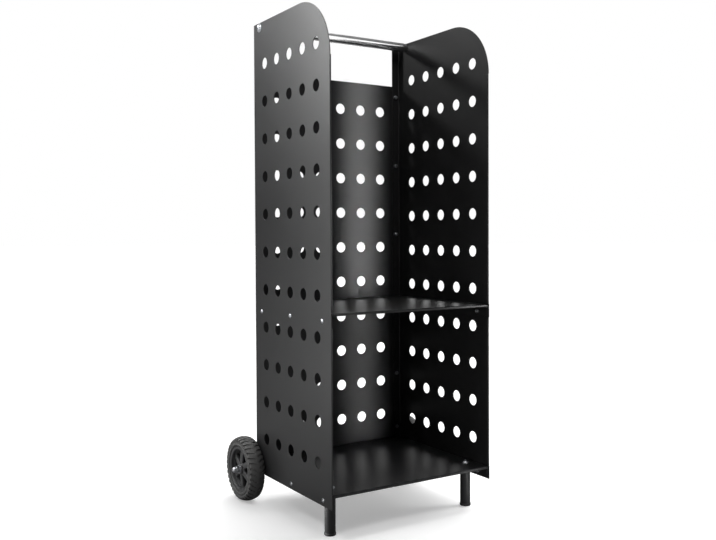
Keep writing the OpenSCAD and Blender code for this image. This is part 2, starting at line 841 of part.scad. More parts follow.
// Section of the tyre: a crowned tread between round shoulders, and a bead in the rim's channel
module tyre_section() {
    bead_start = rim_start + rim_wall + bead_gap;
    bead_end = rim_end - rim_wall - bead_gap;
    wall_r = rim_r + bead_gap;
    translate([wall_r, 0]) square([shoulder_c - wall_r, tyre_w]);
    for (s = [shoulder_r, tyre_w - shoulder_r])
        translate([shoulder_c, s]) circle(r = shoulder_r);
    intersection() {
        translate([crown_c, tyre_w / 2]) circle(r = crown_r, $fn = 180);
        translate([wall_r, crown_start]) square([wheel_r - wall_r, tyre_w - 2 * crown_start]);
    }
    translate([channel_r + seat_gap, bead_start]) square([rim_channel + bead_gap, bead_end - bead_start]);
}

// Slanted grooves cut the tread into blocks, staggered from one shoulder to the other
module tread_grooves() {
    cut_l = groove_reach * 1.5;
    for (side = [0, 1])
        for (i = [0 : tread_blocks - 1])
            rotate((i + side / 2) * 360 / tread_blocks)
                translate([wheel_r - groove_depth, 0, side == 0 ? groove_reach : tyre_w - groove_reach])
                    rotate([side == 0 ? -groove_slant : 180 + groove_slant, 0, 0])
                        rotate([0, groove_slope, 0]) translate([0, -groove_w / 2, -cut_l])
                            cube([groove_depth + groove_reach, groove_w, cut_l]);
}

module tyre() {
    color([0.14, 0.14, 0.14]) difference() {
        rotate_extrude($fn = 128) tyre_section();
        tread_grooves();
    }
}

// Puts a wheel piece on the right-hand end of the axle
module on_right_axle() {
    translate([wheel_x, axle_y, axle_z]) rotate([0, 90, 0]) children();
}

module left_wheel_rim() {
    mirror([1, 0, 0]) on_right_axle() wheel_rim();
}

module right_wheel_rim() {
    on_right_axle() wheel_rim();
}

module left_tyre() {
    mirror([1, 0, 0]) on_right_axle() tyre();
}

module right_tyre() {
    on_right_axle() tyre();
}

left_side_panel();
right_side_panel();
back_panel();
middle_shelf();
bottom_shelf();
middle_shelf_screws();
middle_shelf_nuts();
bottom_shelf_screws();
bottom_shelf_nuts();
back_panel_screws();
back_panel_nuts();
handle_tube();
handle_inserts();
handle_washers();
handle_bolts();
left_front_leg();
right_front_leg();
leg_inserts();
leg_washers();
leg_bolts();
left_foot_cap();
right_foot_cap();
left_axle_bracket();
right_axle_bracket();
bracket_bolts();
bracket_nuts();
axle_rod();
axle_sleeves();
left_wheel_rim();
right_wheel_rim();
left_tyre();
right_tyre();
axle_washers();
axle_cap_nuts();
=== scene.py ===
"""Fireside log cart: a body of folded, perforated sheet steel with two shelves, a tube handle,
two front legs and two rear wheels. Meshes are drawn in millimetres and scaled when finished."""

from math import acos, asin, atan2, cos, hypot, pi, radians, sin, sqrt, tan

import bmesh
import bpy
from mathutils import Matrix, Vector


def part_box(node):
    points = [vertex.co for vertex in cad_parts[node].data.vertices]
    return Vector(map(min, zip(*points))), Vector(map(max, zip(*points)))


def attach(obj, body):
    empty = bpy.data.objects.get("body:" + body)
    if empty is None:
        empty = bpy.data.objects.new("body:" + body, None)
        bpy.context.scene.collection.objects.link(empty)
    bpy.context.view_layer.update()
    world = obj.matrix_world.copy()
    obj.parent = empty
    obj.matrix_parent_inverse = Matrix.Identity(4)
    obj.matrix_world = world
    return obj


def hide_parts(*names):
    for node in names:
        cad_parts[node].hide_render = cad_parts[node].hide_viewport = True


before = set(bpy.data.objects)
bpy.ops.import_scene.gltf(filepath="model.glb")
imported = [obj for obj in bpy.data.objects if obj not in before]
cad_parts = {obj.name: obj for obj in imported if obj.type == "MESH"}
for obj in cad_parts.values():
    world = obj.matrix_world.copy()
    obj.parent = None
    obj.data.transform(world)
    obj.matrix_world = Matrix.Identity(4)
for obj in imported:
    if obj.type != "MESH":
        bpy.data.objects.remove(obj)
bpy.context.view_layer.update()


# ---- Side panels ---------------------------------------------------------------------------
# Each side is one blank of sheet steel, punched with rows of round holes. Its rear edge is
# folded in as a flange and its front edge is flattened back on itself as a hem. The folded
# blank is powder coated in satin black.

MM = 0.001
X, Y, Z = Vector((1, 0, 0)), Vector((0, 1, 0)), Vector((0, 0, 1))
SHEET = 1.5
FOLD = 1.5
BEND = FOLD + SHEET
# A cut edge is eased by two slopes, each a share of EASE inwards and a share of it upwards.
EASE = 0.3
EASE_SLOPES = ((0.3, 0.7), (0.7, 0.3))
ROUND_STEPS, ARC_STEPS = 5, 32
# A hole up to SMALL_HOLE in diameter is drawn with fewer sides.
HOLE, SMALL_HOLE = 23, 12
ROW_PITCH = 77.5
SIDE_ROWS, SIDE_COLUMNS = 11, 5
SIDE_PITCH = 53.8
SIDE_FIRST_ROW = 86.5
TOP_CORNER = 115
REAR_FLANGE = 20
HEM = 15
HEM_FOLD = 0.1
HEM_GAP = 2
HEM_RELIEF = 0.5
HEM_SLACK = 0.1
SHELF_FLANGE = 25
SCREW_HOLE = 5.5
BOLT_HOLE = 8.5
SCREW_END = 32.5
FLANGE_SCREW_INSET = 11.5
BACK_SCREW_DROP, UPPER_BACK_SCREWS = 25, 3
BRACKET_BOLT_PITCH = 40


class Wire:
    """An output socket that takes part in Python arithmetic; each operation adds a Math node."""

    def __init__(self, finish, socket):
        self.finish = finish
        self.socket = socket

    def math(self, operation, first, second, clamp=False):
        settings = {"operation": operation, "use_clamp": clamp}
        return self.finish.node("ShaderNodeMath", settings, {0: first, 1: second})

    def __add__(self, other):
        return self.math("ADD", self, other)

    def __sub__(self, other):
        return self.math("SUBTRACT", self, other)

    def __mul__(self, other):
        return self.math("MULTIPLY", self, other)

    def __gt__(self, other):
        return self.math("GREATER_THAN", self, other)

    def clamped(self):
        return self.math("ADD", self, 0, clamp=True)

    __radd__ = __add__
    __rmul__ = __mul__


class Finish:
    """A procedural material that reads the piece's own object coordinates."""

    def __init__(self, name):
        self.material = bpy.data.materials.new(name)
        self.material.use_nodes = True
        self.tree = self.material.node_tree
        self.shader = self.tree.nodes["Principled BSDF"]
        self.place = self.node("ShaderNodeTexCoord", {}, {}, "Object")

    def node(self, kind, settings, sockets, output=0):
        made = self.tree.nodes.new(kind)
        for name, value in settings.items():
            setattr(made, name, value)
        for name, value in sockets.items():
            self.feed(made.inputs[name], value)
        return Wire(self, made.outputs[output])

    def feed(self, socket, value):
        if isinstance(value, Wire):
            self.tree.links.new(value.socket, socket)
        else:
            socket.default_value = value

    def set(self, **sockets):
        for name, value in sockets.items():
            self.feed(self.shader.inputs[name.replace("_", " ")], value)

    def noise(self, scale, detail=2.0, roughness=0.5, stretch=(1, 1, 1)):
        vector = self.node("ShaderNodeMapping", {}, {"Vector": self.place, "Scale": stretch})
        sockets = {"Vector": vector, "Scale": scale, "Detail": detail, "Roughness": roughness}
        return self.node("ShaderNodeTexNoise", {}, sockets)

    def blend(self, mask, first, second):
        # The Mix node's colour sockets share their names with others, so they go by number.
        color_a, color_b, color_result = 6, 7, 2
        sockets = {"Factor": mask, color_a: first, color_b: second}
        return self.node("ShaderNodeMix", {"data_type": "RGBA"}, sockets, color_result)

    def bump(self, height, strength, distance):
        sockets = {"Height": height, "Strength": strength, "Distance": distance}
        return self.node("ShaderNodeBump", {}, sockets)


def powder_coat(name):
    """Orange peel of cured powder, with a faint unevenness of gloss and a little dust."""
    black, dust = (0.009, 0.009, 0.0095, 1), (0.02, 0.02, 0.0205, 1)
    coat = Finish(name)
    peel = coat.noise(scale=850, detail=3)
    grain = coat.noise(scale=3800)
    cloud = coat.noise(scale=4.5, detail=4, roughness=0.6)
    specks = coat.noise(scale=240) > 0.72
    coat.set(
        Base_Color=coat.blend((cloud * 0.5 + specks * 0.2).clamped(), black, dust),
        Roughness=(cloud * 0.1 + 0.32 + grain * 0.04).clamped(),
        Normal=coat.bump(peel * 0.7 + grain * 0.3, strength=0.25, distance=0.00012),
    )
    return coat.material


def corners(node):
    """A CAD node's lowest and highest corners."""
    return [Vector(corner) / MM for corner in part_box(node)]


def drawn_outline(bm, points, closed=True):
    """Draws edges through the points; a point's third number rounds its corner to that radius."""
    verts = [bm.verts.new((point[0], point[1], 0)) for point in points]
    for vert, after in zip(verts, verts[1:] + verts[:1] if closed else verts[1:]):
        bm.edges.new((vert, after))
    for vert, point in zip(verts, points):
        if len(point) > 2:
            bmesh.ops.bevel(bm, geom=[vert], offset=point[2], offset_type="OFFSET", profile=0.5,
                            segments=ROUND_STEPS, affect="VERTICES", material=-1)


def cut_blank(outline, holes=(), windows=(), thickness=SHEET, ease=EASE):
    """Cuts a blank from its drawing: the inner face is on z = 0, and every cut edge is eased."""
    bm = bmesh.new()
    for drawing in (outline, *windows):
        drawn_outline(bm, drawing)
    for x, y, diameter in holes:
        steps = 48 if diameter > SMALL_HOLE else 24
        bmesh.ops.create_circle(bm, segments=steps, radius=diameter / 2,
                                matrix=Matrix.Translation((x, y, 0)))
    bmesh.ops.triangle_fill(bm, use_beauty=True, edges=bm.edges[:])
    bmesh.ops.translate(bm, vec=Z * ease, verts=bm.verts[:])
    inner = bm.faces[:]
    raised = bmesh.ops.extrude_face_region(bm, geom=inner)["geom"]
    outer = [part for part in raised if isinstance(part, bmesh.types.BMFace)]
    lifted = [part for part in raised if isinstance(part, bmesh.types.BMVert)]
    bmesh.ops.translate(bm, vec=Z * (thickness - 2 * ease), verts=lifted)
    bmesh.ops.recalc_face_normals(bm, faces=bm.faces[:])
    for face in (inner, outer):
        for inwards, upwards in EASE_SLOPES:
            bmesh.ops.inset_region(bm, faces=face, thickness=ease * inwards, depth=ease * upwards,
                                   use_even_offset=True, use_boundary=True)
    return bm


def allowance(angle=pi / 2, radius=FOLD, thickness=SHEET):
    """Length of blank that a fold takes up, along the middle of the sheet."""
    return angle * (radius + thickness / 2)


def fold(bm, line, away, angle=pi / 2, radius=FOLD, thickness=SHEET, part=None, steps=6):
    """Folds what lies beyond a line of the blank towards its inner face."""
    length = allowance(angle, radius, thickness)
    for step in range(steps + 1):
        whole = bm.verts[:] + bm.edges[:] + bm.faces[:]
        bmesh.ops.bisect_plane(bm, geom=whole, dist=1e-5, plane_no=away,
                               plane_co=away * (line + length * step / steps))
    for vert in bm.verts:
        beyond = vert.co.dot(away) - line
        if beyond <= 0 or part and not part(vert.co):
            continue
        turned = angle * min(beyond / length, 1)
        straight = max(beyond - length, 0)
        reach = radius + vert.co.z
        run = reach * sin(turned) + straight * cos(turned)
        height = reach * cos(turned) - straight * sin(turned) - radius
        vert.co += away * (run - beyond) + Z * (height - vert.co.z)


def turned_to(across, up, outward, at=(0, 0, 0)):
    """The matrix that carries a drawing's X, Y and Z onto three directions of the cart."""
    return Matrix.Translation(at) @ Matrix((across, up, outward)).transposed().to_4x4()


def mirrored(bm):
    """A copy of a right-hand mesh for the cart's left side."""
    other = bm.copy()
    bmesh.ops.scale(other, vec=(-1, 1, 1), verts=other.verts[:])
    bmesh.ops.reverse_faces(other, faces=other.faces[:])
    return other


def finish_piece(name, bm, body, slot, material, *nodes):
    """Shades and scales a piece, sets it on its body and lets it stand for its CAD nodes."""
    on_axis, sharp = 0.9999, radians(40)
    bm.normal_update()
    for face in bm.faces:
        face.smooth = max(abs(part) for part in face.normal) < on_axis
    for edge in bm.edges:
        edge.smooth = not edge.is_manifold or edge.calc_face_angle() < sharp
    bmesh.ops.scale(bm, vec=(MM, MM, MM), verts=bm.verts[:])
    mesh = bpy.data.meshes.new(name)
    bm.to_mesh(mesh)
    bm.free()
    mesh.materials.append(material)
    made = bpy.data.objects.new(name, mesh)
    bpy.context.scene.collection.objects.link(made)
    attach(made, body)
    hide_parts(*nodes)


side_low, side_high = corners("right_side_panel")
OUTER_X = side_high.x
INNER_X = OUTER_X - SHEET
FRONT_Y, REAR_Y = side_low.y, side_high.y
LOW_Z, TOP_Z = side_low.z, side_high.z
SIDE_MID_Y = (FRONT_Y + REAR_Y) / 2
SHELF_TOP = {name: corners(name + "_shelf")[1].z for name in ("middle", "bottom")}
SCREW_Z = {name: sum(corner.z for corner in corners(name + "_shelf_screws")) / 2
           for name in ("middle", "bottom")}
SCREW_YS = [FRONT_Y + SCREW_END, SIDE_MID_Y, REAR_Y - SCREW_END]
HANDLE_Y = sum(corner.y for corner in corners("handle_tube")) / 2
HANDLE_Z = sum(corner.z for corner in corners("handle_tube")) / 2
FLANGE_SCREW_X = OUTER_X - FLANGE_SCREW_INSET
BACK_TOP = corners("back_panel")[1].z
BACK_SCREW_Z = BACK_TOP - BACK_SCREW_DROP
UPPER_STEP = (BACK_SCREW_Z - SCREW_Z["middle"]) / UPPER_BACK_SCREWS
BACK_SCREW_ZS = [BACK_SCREW_Z - UPPER_STEP * step for step in range(UPPER_BACK_SCREWS)]
BACK_SCREW_ZS.append(sum(SCREW_Z.values()) / 2)
BRACKET_BOLT_ZS = [SCREW_Z["bottom"], SCREW_Z["bottom"] + BRACKET_BOLT_PITCH]
FLANGE_HOLE_ZS = [*BACK_SCREW_ZS, SCREW_Z["middle"], *BRACKET_BOLT_ZS]


def side_panel():
    """The right-hand panel. Its drawing's X runs to the rear and its Y runs up."""
    rear_line = REAR_Y - BEND
    rear = rear_line + allowance() + REAR_FLANGE - BEND
    hem_line = FRONT_Y + SHEET + HEM_FOLD
    hem_edge = hem_line - allowance(pi, HEM_FOLD) - (HEM - SHEET - HEM_FOLD)
    hems = [(SHELF_TOP["bottom"] + HEM_GAP, SHELF_TOP["middle"] - SHELF_FLANGE - HEM_GAP),
            (SHELF_TOP["middle"] + HEM_GAP, TOP_Z - TOP_CORNER - HEM_RELIEF)]
    outline = [(FRONT_Y, LOW_Z)]
    for low, high in hems:
        outline += [(FRONT_Y, low - HEM_RELIEF), (hem_line, low - HEM_RELIEF), (hem_line, low)]
        outline += [(hem_edge, low), (hem_edge, high), (hem_line, high)]
        outline += [(hem_line, high + HEM_RELIEF), (FRONT_Y, high + HEM_RELIEF)]
    for step in range(1, ARC_STEPS + 1):
        angle = pi / 2 * step / ARC_STEPS
        outline.append((FRONT_Y + TOP_CORNER * (1 - cos(angle)),
                        TOP_Z - TOP_CORNER * (1 - sin(angle))))
    outline += [(rear, TOP_Z), (rear, LOW_Z)]
    holes = [(SIDE_MID_Y + (column - (SIDE_COLUMNS - 1) / 2) * SIDE_PITCH,
              TOP_Z - SIDE_FIRST_ROW - row * ROW_PITCH, HOLE)
             for row in range(SIDE_ROWS) for column in range(SIDE_COLUMNS)]
    holes += [(y, z, SCREW_HOLE) for y in SCREW_YS for z in SCREW_Z.values()]
    holes += [(rear - REAR_FLANGE + OUTER_X - FLANGE_SCREW_X, z, SCREW_HOLE) for z in FLANGE_HOLE_ZS]
    holes.append((HANDLE_Y, HANDLE_Z, BOLT_HOLE))

    def in_hem(place):
        return any(low - HEM_SLACK < place.y < high + HEM_SLACK for low, high in hems)

    bm = cut_blank(outline, holes)
    fold(bm, rear_line, X)
    fold(bm, -hem_line, -X, pi, HEM_FOLD, part=in_hem)
    bmesh.ops.transform(bm, matrix=turned_to(Y, Z, X, (INNER_X, 0, 0)), verts=bm.verts[:])
    return bm


side_coat = powder_coat("side_panel_coat")
right_side = side_panel()
finish_piece("left_side_sheet", mirrored(right_side), "cart", "powder_coat", side_coat, "left_side_panel")
finish_piece("right_side_sheet", right_side, "cart", "powder_coat", side_coat, "right_side_panel")


# ---- Back panel ----------------------------------------------------------------------------
# A flat punched sheet, screwed to the rear faces of the side panels' flanges. It stops short
# of the handle, so that a hand can reach round the tube.

BACK_ROWS, BACK_COLUMNS = 10, 6
BACK_PITCH = 53
BACK_FIRST_ROW = 61.5
BACK_CORNER = 2

back_edge = corners("back_panel")[1].x
back_outline = [(-back_edge, LOW_Z, BACK_CORNER), (back_edge, LOW_Z, BACK_CORNER),
                (back_edge, BACK_TOP, BACK_CORNER), (-back_edge, BACK_TOP, BACK_CORNER)]
back_holes = [((column - (BACK_COLUMNS - 1) / 2) * BACK_PITCH,
               BACK_TOP - BACK_FIRST_ROW - row * ROW_PITCH, HOLE)
              for row in range(BACK_ROWS) for column in range(BACK_COLUMNS)]
back_holes += [(side * FLANGE_SCREW_X, z, SCREW_HOLE) for side in (-1, 1) for z in FLANGE_HOLE_ZS]
back = cut_blank(back_outline, back_holes)
bmesh.ops.transform(back, matrix=turned_to(-X, Z, Y, (0, REAR_Y, 0)), verts=back.verts[:])
finish_piece("back_sheet", back, "cart", "powder_coat", powder_coat("back_panel_coat"), "back_panel")


# ---- Shelves -------------------------------------------------------------------------------
# Two trays folded from one blank each: flanges turned down at the sides and the rear take the
# screws, and a short lip stiffens the front. Same satin black powder coat.

SHELF_LIP = 5
SHELF_FRONT_GAP = 0.5
SCREW_DROP = SHELF_TOP["middle"] - SCREW_Z["middle"]
LEG_INSET, LEG_SETBACK = 24, 48.7
LEG_X = OUTER_X - LEG_INSET
LEG_Y = FRONT_Y + LEG_SETBACK

shelf_coat = powder_coat("shelf_coat")


def shelf(name, bolt_holes):
    """A tray whose drawing lies on the underside of its top."""
    edge = INNER_X - BEND
    front = FRONT_Y + SHELF_FRONT_GAP + BEND
    rear = REAR_Y - SHEET - BEND
    flange = allowance() + SHELF_FLANGE - BEND
    lip = allowance() + SHELF_LIP - BEND
    right = [(edge, front - lip), (edge, front), (edge + flange, front), (edge + flange, rear),
             (edge, rear), (edge, rear + flange)]
    outline = right + [(-x, y) for x, y in reversed(right)]
    screw_line = allowance() + SCREW_DROP - BEND
    holes = [(side * (edge + screw_line), y, SCREW_HOLE) for side in (-1, 1) for y in SCREW_YS]
    holes += [(side * FLANGE_SCREW_X, rear + screw_line, SCREW_HOLE) for side in (-1, 1)]
    holes += [(x, y, BOLT_HOLE) for x, y in bolt_holes]
    bm = cut_blank(outline, holes)
    for line, away in ((edge, X), (edge, -X), (rear, Y), (-front, -Y)):
        fold(bm, line, away)
    bmesh.ops.translate(bm, vec=Z * (SHELF_TOP[name] - SHEET), verts=bm.verts[:])
    finish_piece(name + "_tray", bm, "cart", "powder_coat", shelf_coat, name + "_shelf")


shelf("middle", [])
shelf("bottom", [(-LEG_X, LEG_Y), (LEG_X, LEG_Y)])


# ---- Screws and nuts of the body -----------------------------------------------------------
# M5 domed screws with a hexagon socket, bright zinc plated. Three go through each side panel
# into a shelf's flange, and a row on each side holds the back panel; each has a hexagon nut.

SCREW, SCREW_PITCH = 5, 0.8
SCREW_HEAD, SCREW_DOME = 9, 2.6
SCREW_SOCKET = 3
NUT_FLATS, NUT_HEIGHT = 8, 4
BORE_GAP = 0.2
THREAD_TAIL = 1.5
HEAD_EDGE, TIP_CHAMFER = 0.1, 0.5
# Shares of the thread's pitch, of the dome's height and of the width across flats.
THREAD_DEPTH = 0.6
SOCKET_FLOOR = 0.45
HEXAGON_RING = 0.6
HEXAGON_SLOPE = tan(radians(30))
TWO_SHEETS = 2 * SHEET


def zinc_plate(name):
    """Bright zinc with the cloudy grain that plating leaves."""
    bright, haze = (0.56, 0.57, 0.59, 1), (0.4, 0.41, 0.44, 1)
    plate = Finish(name)
    cloud = plate.noise(scale=160, detail=4, roughness=0.6)
    grain = plate.noise(scale=2600)
    plate.set(
        Metallic=1.0,
        Base_Color=plate.blend((cloud * 0.8).clamped(), bright, haze),
        Roughness=(cloud * 0.14 + 0.2 + grain * 0.05).clamped(),
        Normal=plate.bump(grain, strength=0.12, distance=0.00005),
    )
    return plate.material


def turned(outline, segments=48, closed=False):
    """Turns an outline of (radius, height) points round Z."""
    bm = bmesh.new()
    drawn_outline(bm, outline, closed)
    bmesh.ops.rotate(bm, cent=(0, 0, 0), matrix=Matrix.Rotation(pi / 2, 3, "X"), verts=bm.verts[:])
    bmesh.ops.spin(bm, geom=bm.verts[:] + bm.edges[:], axis=Z, cent=(0, 0, 0), angle=2 * pi,
                   steps=segments, use_merge=True)
    bmesh.ops.remove_doubles(bm, verts=bm.verts[:], dist=1e-4)
    bmesh.ops.recalc_face_normals(bm, faces=bm.faces[:])
    return bm


def to_hexagon(bm, radius, flats, slope=0.0):
    """Draws the rings of one radius out to a hexagon, with its corners chamfered by the slope."""
    rings = [vert for vert in bm.verts if abs(hypot(vert.co.x, vert.co.y) - radius) < 1e-3]
    middle = sum(vert.co.z for vert in rings) / len(rings)
    for vert in rings:
        reach = flats / 2 / cos(atan2(vert.co.y, vert.co.x) % (pi / 3) - pi / 6)
        fall = slope * (reach - flats / 2)
        vert.co.z += fall if vert.co.z < middle else -fall
        vert.co.xy *= reach / radius


def domed_screw(diameter, head, dome, socket, shank, tail, pitch):
    """A screw along Z: its head stands on z = 0, and the thread shows on the tail of its shank."""
    sphere = (dome * dome + head * head / 4) / (2 * dome)
    corner, edge, steps = socket / sqrt(3), head / 2 - HEAD_EDGE, 6
    radii = [corner + (edge - corner) * step / steps for step in range(steps + 1)]
    outline = [(0, dome * SOCKET_FLOOR), (corner, dome * SOCKET_FLOOR)]
    outline += [(radius, dome - sphere + sqrt(sphere ** 2 - radius ** 2)) for radius in radii]
    outline += [(head / 2 - 2 * HEAD_EDGE, 0), (diameter / 2, 0)]
    root = diameter / 2 - THREAD_DEPTH * pitch
    for ring in range(int(tail / pitch)):
        height = -shank + tail - ring * pitch
        outline += [(diameter / 2, height), (root, height - pitch / 2)]
    outline += [(diameter / 2, -shank + TIP_CHAMFER), (root, -shank), (0, -shank)]
    bm = turned(outline, 24)
    to_hexagon(bm, corner, socket)
    return bm


def hexagon_nut(bore, flats, height):
    """A nut along Z, standing on z = 0, with chamfered corners and a countersunk bore."""
    ring, edge = flats * HEXAGON_RING, 0.05
    face, sink, sink_depth = flats / 2 - 2 * edge, bore / 2 + 0.3, 0.4
    outline = [(sink, 0), (face, 0), (ring, edge), (ring, height - edge), (face, height),
               (sink, height), (bore / 2, height - sink_depth), (bore / 2, sink_depth)]
    bm = turned(outline, 24, closed=True)
    to_hexagon(bm, ring, flats, HEXAGON_SLOPE)
    return bm


def set_out(bm, places):
    """Repeats a fastener at every place."""
    first = bm.verts[:] + bm.edges[:] + bm.faces[:]
    for place in places:
        copy = bmesh.ops.duplicate(bm, geom=first)["geom"]
        verts = [part for part in copy if isinstance(part, bmesh.types.BMVert)]
        bmesh.ops.transform(bm, matrix=place, verts=verts)
    bmesh.ops.delete(bm, geom=[part for part in first if isinstance(part, bmesh.types.BMVert)])
    return bm


def facing(direction, x, y, z):
    """The place of a fastener whose Z points in a direction."""
    return Matrix.Translation((x, y, z)) @ direction.to_track_quat("Z", "Y").to_matrix().to_4x4()


def screw_for(clamped):
    """The screw that clamps this thickness of sheet, with its nut and a tail of thread."""
    shank = clamped + NUT_HEIGHT + THREAD_TAIL
    return domed_screw(SCREW, SCREW_HEAD, SCREW_DOME, SCREW_SOCKET, shank, THREAD_TAIL, SCREW_PITCH)


def screw_nut():
    """The nut on that screw."""
    return hexagon_nut(SCREW + BORE_GAP, NUT_FLATS, NUT_HEIGHT)


def zinc_set(name, fastener, places, node):
    """Sets out one kind of fastener, zinc plated, as one piece."""
    finish_piece(name, set_out(fastener, places), "cart", "zinc_steel", zinc, node)


zinc = zinc_plate("zinc_plated_steel")
for name in ("middle", "bottom"):
    heads = [facing(X * side, side * OUTER_X, y, SCREW_Z[name])
             for side in (-1, 1) for y in SCREW_YS]
    nuts = [facing(-X * side, side * (INNER_X - SHEET), y, SCREW_Z[name])
            for side in (-1, 1) for y in SCREW_YS]
    zinc_set(name + "_shelf_screw_set", screw_for(TWO_SHEETS), heads, name + "_shelf_screws")
    zinc_set(name + "_shelf_nut_set", screw_nut(), nuts, name + "_shelf_nuts")

BACK_FACE = REAR_Y + SHEET

# Height of each pair of screws and its sheets: the middle shelf's rear flange is a third one.
back_clamps = [(z, 2) for z in BACK_SCREW_ZS] + [(SCREW_Z["middle"], 3)]
heads = [facing(Y, side * FLANGE_SCREW_X, BACK_FACE, z)
         for side in (-1, 1) for z, layers in back_clamps]
nuts = [facing(-Y, side * FLANGE_SCREW_X, BACK_FACE - layers * SHEET, z)
        for side in (-1, 1) for z, layers in back_clamps]
zinc_set("back_screw_set", screw_for(TWO_SHEETS), heads, "back_panel_screws")
zinc_set("back_nut_set", screw_nut(), nuts, "back_panel_nuts")


# ---- Handle --------------------------------------------------------------------------------
# A polished stainless tube between the tops of the side panels. A threaded plug is pressed
# into each end, and a domed M8 bolt with a washer goes through the panel into it.

HANDLE, HANDLE_WALL = 20, 1.5
HANDLE_INSERT = 25
PLUG_GAP = 0.2
BOLT, BOLT_PITCH = 8, 1.25
BOLT_HEAD, BOLT_DOME = 14, 4.4
BOLT_SOCKET = 5
# The share of a plug's length that its bolt reaches into.
BOLT_REACH = 0.8
WASHER, WASHER_HEIGHT = 18, 1.6


def polished_tube(name):
    """Stainless steel, ground round the tube and then polished, so faint rings are left."""
    bright, dull = (0.78, 0.78, 0.78, 1), (0.66, 0.66, 0.67, 1)
    steel = Finish(name)
    rings = steel.noise(scale=60, detail=3, roughness=0.6, stretch=(40, 1, 1))
    cloud = steel.noise(scale=14, detail=3)
    steel.set(
        Metallic=1.0,
        Base_Color=steel.blend((cloud * 0.7).clamped(), bright, dull),
        Roughness=(0.17 + rings * 0.08).clamped(),
        Normal=steel.bump(rings, strength=0.02, distance=0.00004),
    )
    return steel.material


def tube(diameter, wall, length, segments=64):
    """A tube along Z from z = 0, with deburred ends."""
    inner, outer = diameter / 2 - wall, diameter / 2
    outline = [(inner, 0, EASE), (outer, 0, EASE), (outer, length, EASE), (inner, length, EASE)]
    return turned(outline, segments, closed=True)


def along(direction, bm, x, y, z):
    """Sets one piece at a place, with its Z in a direction."""
    bmesh.ops.transform(bm, matrix=facing(direction, x, y, z), verts=bm.verts[:])
    return bm


def threaded_plug(fit, length):
    """A plug pressed into a tube of this bore, with its own bore open for the bolt."""
    return tube(fit - PLUG_GAP, (fit - BOLT) / 2 - PLUG_GAP, length, segments=32)


def bolt_into(plug_length):
    """The bolt that goes through a washer and one sheet into a plug."""
    shank = WASHER_HEIGHT + SHEET + plug_length * BOLT_REACH
    return domed_screw(BOLT, BOLT_HEAD, BOLT_DOME, BOLT_SOCKET, shank, 2 * BOLT_PITCH, BOLT_PITCH)


def washer():
    """The plain washer of the bolts and the axle."""
    return tube(WASHER, (WASHER - BOLT_HOLE) / 2, WASHER_HEIGHT, segments=48)


bar = along(X, tube(HANDLE, HANDLE_WALL, 2 * INNER_X), -INNER_X, HANDLE_Y, HANDLE_Z)
finish_piece("handle_bar", bar, "cart", "bright_tube", polished_tube("polished_handle"), "handle_tube")
ends = [(side, X * side) for side in (-1, 1)]
places = [facing(-out, side * INNER_X, HANDLE_Y, HANDLE_Z) for side, out in ends]
plug = threaded_plug(HANDLE - 2 * HANDLE_WALL, HANDLE_INSERT)
zinc_set("handle_plugs", plug, places, "handle_inserts")
places = [facing(out, side * OUTER_X, HANDLE_Y, HANDLE_Z) for side, out in ends]
zinc_set("handle_washer_pair", washer(), places, "handle_washers")
places = [facing(out, side * (OUTER_X + WASHER_HEIGHT), HANDLE_Y, HANDLE_Z) for side, out in ends]
zinc_set("handle_bolt_pair", bolt_into(HANDLE_INSERT), places, "handle_bolts")


# ---- Front legs ----------------------------------------------------------------------------
# Two powder coated tubes under the bottom shelf. Each has a threaded plug at the top for a
# bolt from the shelf, and a moulded cap with a hollow stem at the foot.

LEG, LEG_WALL = 21, 1.5
LEG_INSERT = 20
FOOT, FOOT_HEIGHT, FOOT_EDGE = 22.6, 5, 1.5
FOOT_STEM = 14
STEM_GAP, STEM_WALL = 0.1, 2
LEG_TOP = SHELF_TOP["bottom"] - SHEET


def moulded_plastic(name, base, worn, roughness, grain_scale):
    """Black moulded plastic with the fine spark texture of its mould."""
    plastic = Finish(name)
    spark = plastic.noise(scale=grain_scale)
    cloud = plastic.noise(scale=22, detail=3)
    plastic.set(
        Base_Color=plastic.blend((cloud * 0.8).clamped(), base, worn),
        Roughness=(roughness + cloud * 0.12).clamped(),
        Normal=plastic.bump(spark, strength=0.25, distance=0.00008),
    )
    return plastic.material


leg_coat = powder_coat("leg_coat")
foot_plastic = moulded_plastic("foot_cap_plastic", base=(0.014, 0.014, 0.015, 1),
                               worn=(0.03, 0.03, 0.03, 1), roughness=0.45, grain_scale=1900)
stem, stem_top = LEG / 2 - LEG_WALL - STEM_GAP, FOOT_HEIGHT + FOOT_STEM
cap_outline = [(0, 0), (FOOT / 2, 0, FOOT_EDGE), (FOOT / 2, FOOT_HEIGHT, EASE), (stem, FOOT_HEIGHT),
               (stem, stem_top, EASE), (stem - STEM_WALL, stem_top, EASE),
               (stem - STEM_WALL, FOOT_HEIGHT), (0, FOOT_HEIGHT)]
for name, side in (("left", -1), ("right", 1)):
    post = along(Z, tube(LEG, LEG_WALL, LEG_TOP - FOOT_HEIGHT), side * LEG_X, LEG_Y, FOOT_HEIGHT)
    finish_piece(name + "_leg_tube", post, "cart", "powder_coat", leg_coat, name + "_front_leg")
    cap = along(Z, turned(cap_outline, 64), side * LEG_X, LEG_Y, 0)
    finish_piece(name + "_foot", cap, "cart", "foot_plastic", foot_plastic, name + "_foot_cap")
places = [facing(Z, side * LEG_X, LEG_Y, LEG_TOP - LEG_INSERT) for side in (-1, 1)]
zinc_set("leg_plugs", threaded_plug(LEG - 2 * LEG_WALL, LEG_INSERT), places, "leg_inserts")
places = [facing(Z, side * LEG_X, LEG_Y, SHELF_TOP["bottom"]) for side in (-1, 1)]
zinc_set("leg_washer_pair", washer(), places, "leg_washers")
